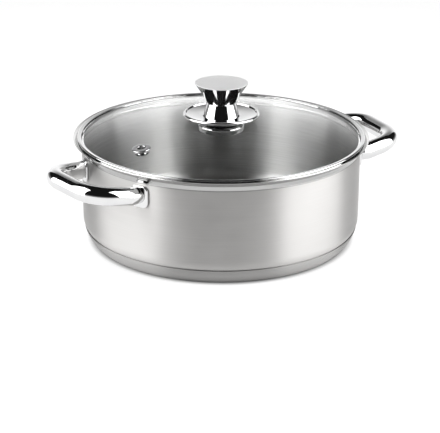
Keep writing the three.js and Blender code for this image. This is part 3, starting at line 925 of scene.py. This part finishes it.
def eyelet_outline():
    """Crimped lower end, barrel, rolled flange and rounded mouth."""
    roll = EYELET_FLANGE / 2
    under = -GLASS_THICKNESS - EYELET_GAP
    barrel = VENT_BORE + EYELET_SHEET
    ease_in, ease_up = CRIMP_EASING
    lower = [(VENT_BORE, under - EYELET_SHEET), (EYELET_CRIMP - ease_in, under - EYELET_SHEET)]
    lower += [(EYELET_CRIMP, under - ease_up), (EYELET_CRIMP, under), (barrel, under), (barrel, EYELET_GAP)]
    rolled = arc((EYELET_RADIUS - roll, EYELET_GAP + roll), roll, -90, 90, 10)
    mouth = arc((VENT_BORE + roll, EYELET_GAP + roll), roll, 90, 180, 8)
    return lower + rolled + mouth


eyelet = turned_mesh("vent_ring", eyelet_outline(), EYELET_SIDES)
eyelet.transform(vent_place)
piece("vent_ring", eyelet, "lid", "vent_eyelet", POLISHED)

# %% [markdown]
# The knob's shell is an hourglass of thin steel, spun and polished, so that fingers grip under its upper
# cone. Straight cones look dead: the upper one is hollowed by a third of a millimetre, which bends the
# dark and light stripes that it mirrors. A subdivision surface could do the same, with less say over where
# the waist stays sharp.

# %% Knob shell
KNOB_FOOT = 15.9
KNOB_WAIST = 11.95
KNOB_TOP = 22.8
KNOB_WAIST_HEIGHT = 11.1
KNOB_HOLLOW = 0.35
KNOB_WALL = 1.2
KNOB_STEPS = 24
knob_low, knob_high = box_mm("knob_body")


def upper_cone(share):
    """Radius of the upper cone at a share of the way from waist to top."""
    straight = KNOB_WAIST + (KNOB_TOP - KNOB_WAIST) * share
    return straight - 4 * KNOB_HOLLOW * share * (1 - share)


def knob_line(inset):
    """One side of the shell from foot to top, moved in by an inset."""
    waist = knob_low.z + KNOB_WAIST_HEIGHT
    points = [(KNOB_FOOT - inset, knob_low.z)]
    for i in range(KNOB_STEPS + 1):
        share = i / KNOB_STEPS
        points.append((upper_cone(share) - inset, waist + (knob_high.z - waist) * share))
    return points


knob_mesh = turned_mesh("knob_shell", knob_line(0.0) + knob_line(KNOB_WALL)[::-1])
piece("knob_shell", knob_mesh, "lid", "knob_body", POLISHED)

# %% [markdown]
# A satin disc closes the knob. It is pressed in by a spigot, and its top is a very flat crown, which keeps
# it from looking dented under an even light. The crown is an arc of a large circle through the rim and the
# CAD height, so only the rim's radius has to be known.

# %% Knob disc
CAP_THICKNESS = 0.6
CAP_EDGE = 0.25
CAP_EDGE_LIFT = 0.05
CAP_CHAMFER = 0.2
CAP_SPIGOT = 20.3
CAP_SEAT_GAP = 0.15
CROWN_SHARE = 0.97
cap_low, cap_high = box_mm("knob_cap")


def cap_outline():
    """Spigot, rim with a rounded edge, and the flat crown."""
    bottom = knob_high.z + CAP_SEAT_GAP
    rim_top = bottom + CAP_THICKNESS
    rise = cap_high.z - rim_top
    sphere = (KNOB_TOP ** 2 + rise ** 2) / (2 * rise)
    sweep = math.degrees(math.asin(KNOB_TOP / sphere))
    points = [(0.0, cap_low.z), (CAP_SPIGOT, cap_low.z), (CAP_SPIGOT, bottom)]
    points += [(KNOB_TOP - CAP_CHAMFER, bottom), (KNOB_TOP, bottom + CAP_CHAMFER)]
    points += arc((KNOB_TOP - CAP_EDGE, rim_top - CAP_EDGE + CAP_EDGE_LIFT), CAP_EDGE, 0, 80, 6)
    crown = arc((0.0, cap_high.z - sphere), sphere, 90 - sweep * CROWN_SHARE, 90.0, 20)
    return points + crown[:-1] + [(0.0, cap_high.z)]


piece("knob_disc", turned_mesh("knob_disc", cap_outline()), "lid", "knob_cap", SATIN)

# %% [markdown]
# The knob stands on a shallow dish, which shields fingers from the hot glass. A dish of bare sheet would
# end in a sharp edge, so makers roll its rim into a bead. Here one arc rises from the knob's foot, on both
# sides of the sheet, and stops just short of a round bead that joins the two.

# %% Knob dish
DISH_SHEET = 1.2
DISH_BEAD = 1.6
DISH_SHARE = 0.93
dish_low, dish_high = box_mm("knob_flange")


def dish_outline():
    """Dish with a rolled bead round its rim, which the sheet runs into from inside."""
    bead = (dish_high.x - DISH_BEAD, dish_high.z - DISH_BEAD)
    run = bead[0] - KNOB_FOOT
    rise = bead[1] - dish_low.z - DISH_SHEET / 2
    curve = (run ** 2 + rise ** 2) / (2 * rise)
    sweep = math.degrees(math.asin(run / curve)) * DISH_SHARE
    centre = (KNOB_FOOT, dish_low.z + DISH_SHEET / 2 + curve)
    under = arc(centre, curve + DISH_SHEET / 2, -90, sweep - 90, 24)
    rolled = arc(bead, DISH_BEAD, -110, 110, 20)
    upper = arc(centre, curve - DISH_SHEET / 2, sweep - 90, -90, 24)
    return [(BOLT_HOLE, dish_low.z)] + under + rolled + upper + [(BOLT_HOLE, dish_low.z + DISH_SHEET)]


piece("knob_dish", turned_mesh("knob_dish", dish_outline()), "lid", "knob_flange", POLISHED)

# %% [markdown]
# What holds the knob shows through the glass and from below: a silicone gasket on each side of the glass,
# a bell of sheet steel that spreads the pull, and a screw up through all of them. Gaskets are stamped from
# sheet, and their eased edges keep them from looking like paper. The bell is spun, so it gets a soft
# shoulder and a rounded lower edge, and it hides the screw's head from the side.

# %% Gaskets and bell washer
GASKET_EASING = 0.35
GASKET_SIDES = 128
BELL_SHEET = 1.2
BELL_SHOULDER = 2.6
BELL_SIDES = 192
bell_low, bell_high = box_mm("knob_backing_washer")


def eased_ring(low, high, inner, outer, easing):
    """Outline of a flat ring with rounded outer edges."""
    points = [(inner, low)] + arc((outer - easing, low + easing), easing, -90, 0, 5)
    return points + arc((outer - easing, high - easing), easing, 0, 90, 5) + [(inner, high)]


def bell_outline():
    """Bell washer, open downwards: crown, shoulder, skirt with a rounded edge, and the inside."""
    middle = (bell_high.x - BELL_SHOULDER, bell_high.z - BELL_SHOULDER)
    lower = (bell_high.x - BELL_SHEET / 2, bell_low.z + BELL_SHEET / 2)
    points = [(BOLT_HOLE, bell_high.z)] + arc(middle, BELL_SHOULDER, 90, 0, 12)
    points += arc(lower, BELL_SHEET / 2, 0, -180, 10)
    points += arc(middle, BELL_SHOULDER - BELL_SHEET, 0, 90, 8)
    return points + [(BOLT_HOLE, bell_high.z - BELL_SHEET)]


for place in ("upper", "lower"):
    node = "knob_" + place + "_gasket"
    low, high = box_mm(node)
    outline = eased_ring(low.z, high.z, BOLT_HOLE, high.x, GASKET_EASING)
    mesh = turned_mesh(place + "_gasket", outline, GASKET_SIDES)
    piece(place + "_gasket_ring", mesh, "lid", node, SILICONE)

bell = turned_mesh("bell_washer", bell_outline(), BELL_SIDES)
piece("bell_washer", bell, "lid", "knob_backing_washer", POLISHED)

# %% [markdown]
# The screw is a pan head of a common size. Its cross recess is cut with two tapering blades, as the punch
# that forms a real one would leave it; without a recess it could not be driven, and it shows when the lid
# is turned over. Its thread is out of sight in the stem, so the shank stays plain.

# %% Knob screw
SCREW_RADIUS = 2.5
SCREW_HEAD = 5.0
SCREW_HEAD_HEIGHT = 2.8
SCREW_DOME = 1.7
SCREW_POINT = 1.2
SCREW_SIDES = 64
SLOT_LENGTH = 5.6
SLOT_WIDTH = 1.1
SLOT_DEPTH = 1.7
SLOT_TAPER = 0.6
BLADE_CLEAR = 1.0
screw_low, screw_high = box_mm("knob_screw")


def screw_outline():
    """Domed head from below, shank and pointed end."""
    head_top = screw_low.z + SCREW_HEAD_HEIGHT
    sphere = (SCREW_HEAD ** 2 + SCREW_DOME ** 2) / (2 * SCREW_DOME)
    sweep = math.degrees(math.asin(SCREW_HEAD / sphere))
    points = arc((0.0, screw_low.z + sphere), sphere, -90, sweep - 90, 12)
    points[0] = (0.0, screw_low.z)
    points += [(SCREW_HEAD, head_top), (SCREW_RADIUS, head_top), (SCREW_RADIUS, screw_high.z - SCREW_POINT)]
    return points + [(SCREW_RADIUS - SCREW_POINT, screw_high.z), (0.0, screw_high.z)]


def slot_blade(turn):
    """One blade of the cross recess, narrower at its tip."""
    turned = Matrix.Rotation(turn, 3, "Z")
    face = screw_low.z
    rings = []
    for share, height in ((1.0, face - BLADE_CLEAR), (1.0, face), (SLOT_TAPER, face + SLOT_DEPTH)):
        length = SLOT_LENGTH / 2 * share
        width = SLOT_WIDTH / 2 * share
        corners = ((length, width), (-length, width), (-length, -width), (length, -width))
        rings.append([turned @ Vector((x, y, height)) for x, y in corners])
    return ring_mesh("blade", rings)


screw_mesh = turned_mesh("knob_bolt", screw_outline(), SCREW_SIDES)
screw = piece("knob_bolt", screw_mesh, "lid", "knob_screw", PLAIN)
for turn in (0, math.pi / 2):
    cut_away(screw, slot_blade(turn))

# %% [markdown]
# Three pieces stay out of sight and keep their CAD solids: the aluminium disc in the base, the threaded
# stem in the knob and the silicone bed of the glass. They still get real finishes, for anyone who takes
# the pot apart.

# %% Inner pieces
INNER_FINISHES = {"base_core": ALUMINIUM, "knob_stem": PLAIN, "lid_edge_seal": SILICONE}
for node, material in INNER_FINISHES.items():
    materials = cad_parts[node].data.materials
    materials.clear()
    materials.append(material)
    print(node, "keeps its solid, in", material.name)

# %% [markdown]
# The stage: a pale floor, a white sweep behind it, two tall soft boxes at the sides and a dark room. Bright
# steel shows nothing but its surroundings, so these are its paint: the dark gaps between the lights draw
# the black lines. Strong lamps could make the background white, but would burn out the steel too. Instead
# the floor and sweep glow a little towards the camera, mirrors and glass, which the Light Path node tells
# apart. The glow fades out upwards on the sweep, and under the pot, where the floor lies in deep shade.

# %% Stage materials
PALE = (0.35, 0.35, 0.35)
MATT = 0.9
FLOOR_GLOW = 0.77
CONTACT_FADE = (110.0, 120.0)
SWEEP_GLOW = 0.95
SWEEP_FADE = (250.0, 1550.0)
scene = bpy.context.scene
scene.view_settings.view_transform = "Standard"


def upward_fade(tree):
    """1 at the foot of the sweep and 0 at its top."""
    low, high = SWEEP_FADE
    return ramp_node(tree, object_axes(tree)["Z"], low * MM, high * MM, 1.0, 0.0)


def clear_of_pot(tree):
    """0 on the floor under the pot and 1 beside it."""
    away = tree.nodes.new("ShaderNodeVectorMath")
    away.operation = "LENGTH"
    tree.links.new(object_place(tree), away.inputs[0])
    low, high = CONTACT_FADE
    return ramp_node(tree, away.outputs["Value"], low * MM, high * MM)


def pale_material(name, glow, mask):
    """Matt white that also glows where the camera, a mirror or glass looks, as far as a mask lets it."""
    material, tree, shader = new_material(name, PALE, MATT, 0.0)
    light_path = tree.nodes.new("ShaderNodeLightPath").outputs
    seen = math_node(tree, "ADD", light_path["Is Camera Ray"], light_path["Is Glossy Ray"])
    seen = math_node(tree, "ADD", seen, light_path["Is Transmission Ray"])
    shader.inputs["Emission Color"].default_value = (1, 1, 1, 1)
    seen = math_node(tree, "MULTIPLY", seen, mask(tree))
    tree.links.new(math_node(tree, "MULTIPLY", seen, glow), shader.inputs["Emission Strength"])
    return material


FLOOR_FINISH = pale_material("floor", FLOOR_GLOW, clear_of_pot)
SWEEP_FINISH = pale_material("sweep", SWEEP_GLOW, upward_fade)

# %% [markdown]
# The floor is a wide disc just under the pot, so that the two never share a surface. The sweep is an upright
# sheet, bent round the back of the pot. It is only as wide as the picture needs: what lies beside it stays
# dark, and gives the rim its dark ends.

# %% Floor and sweep
FLOOR_RADIUS = 4000.0
FLOOR_THICKNESS = 5.0
FLOOR_DROP = 0.2
FLOOR_SIDES = 64
SWEEP_RADIUS = 1900.0
SWEEP_HEIGHT = 1800.0
SWEEP_HALF_WIDTH = 36.0
SWEEP_STEPS = 48


def stage_piece(name, mesh, material):
    """Piece of the stage, which is not part of the pot."""
    obj = bpy.data.objects.new(name, mesh)
    scene.collection.objects.link(obj)
    mesh.materials.append(material)
    print("stage:", name)
    return obj


def sweep_mesh():
    """Upright white sheet, curved round the back of the pot."""
    bm = bmesh.new()
    columns = []
    for i in range(SWEEP_STEPS + 1):
        azimuth = CAMERA_AZIMUTH + 180 + SWEEP_HALF_WIDTH * (2 * i / SWEEP_STEPS - 1)
        foot = compass(azimuth, 0) * SWEEP_RADIUS * MM
        columns.append([bm.verts.new(foot), bm.verts.new(foot + Vector((0, 0, SWEEP_HEIGHT * MM)))])
    for left, right in zip(columns, columns[1:]):
        bm.faces.new((left[0], right[0], right[1], left[1]))
    return mesh_from(bm, "sweep")


floor_outline = [(0, 0), (FLOOR_RADIUS, 0), (FLOOR_RADIUS, -FLOOR_THICKNESS), (0, -FLOOR_THICKNESS)]
floor = stage_piece("floor", turned_mesh("floor", floor_outline, FLOOR_SIDES), FLOOR_FINISH)
floor.location.z = -FLOOR_DROP * MM
stage_piece("sweep", sweep_mesh(), SWEEP_FINISH)

# %% [markdown]
# The room is the world: nearly black overhead, so that mirrors have something dark to show, with a faint
# glow along the horizon, as a lit studio wall would give. An even grey world would be simpler, and would
# turn every black line on the steel grey.

# %% Room
ROOM_LEVEL = 0.01
HORIZON_LEVEL = 0.33
HORIZON_TOP = 14.0
world = bpy.data.worlds.new("room")
scene.world = world
world.use_nodes = True
room = world.node_tree
aim = room.nodes.new("ShaderNodeSeparateXYZ")
room.links.new(room.nodes.new("ShaderNodeTexCoord").outputs["Generated"], aim.inputs[0])
horizon_top = math.sin(math.radians(HORIZON_TOP))
glow = ramp_node(room, aim.outputs["Z"], 0.0, horizon_top, HORIZON_LEVEL, ROOM_LEVEL)
room.nodes["Background"].inputs["Color"].default_value = (1, 1, 1, 1)
room.links.new(glow, room.nodes["Background"].inputs["Strength"])
print("room:", ROOM_LEVEL, "overhead,", HORIZON_LEVEL, "at the horizon")

# %% [markdown]
# Two tall soft boxes stand left and right of the camera. Brushed steel draws each as an upright band, so
# their place and width are the place and width of the bands. Their strength is written as the brightness
# of the sheet, because that is what the steel mirrors, and turned into watts. They are hidden from the
# camera but not from the metal.

# %% Lamps
def soft_box(name, azimuth, distance, width, height, radiance):
    """Upright area light that faces the pot; azimuth is measured from the camera, to the right."""
    lamp = bpy.data.lights.new(name, "AREA")
    lamp.shape = "RECTANGLE"
    lamp.size = width * MM
    lamp.size_y = height * MM
    lamp.energy = radiance * math.pi * lamp.size * lamp.size_y
    obj = bpy.data.objects.new(name, lamp)
    scene.collection.objects.link(obj)
    toward = compass(CAMERA_AZIMUTH + azimuth, 0)
    obj.location = (toward * distance + Vector((0, 0, height / 2))) * MM
    obj.rotation_mode = "QUATERNION"
    obj.rotation_quaternion = toward.to_track_quat("Z", "Y")
    obj.visible_camera = False
    print(name, "at", [round(x, 2) for x in obj.location], "gives", round(lamp.energy, 1), "W")


BOX_AZIMUTH = 77.0
BOX_DISTANCE = 1050.0
BOX_WIDTH = 1200.0
BOX_HEIGHT = 2500.0
BOX_RADIANCE = 3.5
for side, hand in ((-1, "left"), (1, "right")):
    soft_box(hand + "_box", side * BOX_AZIMUTH, BOX_DISTANCE, BOX_WIDTH, BOX_HEIGHT, BOX_RADIANCE)
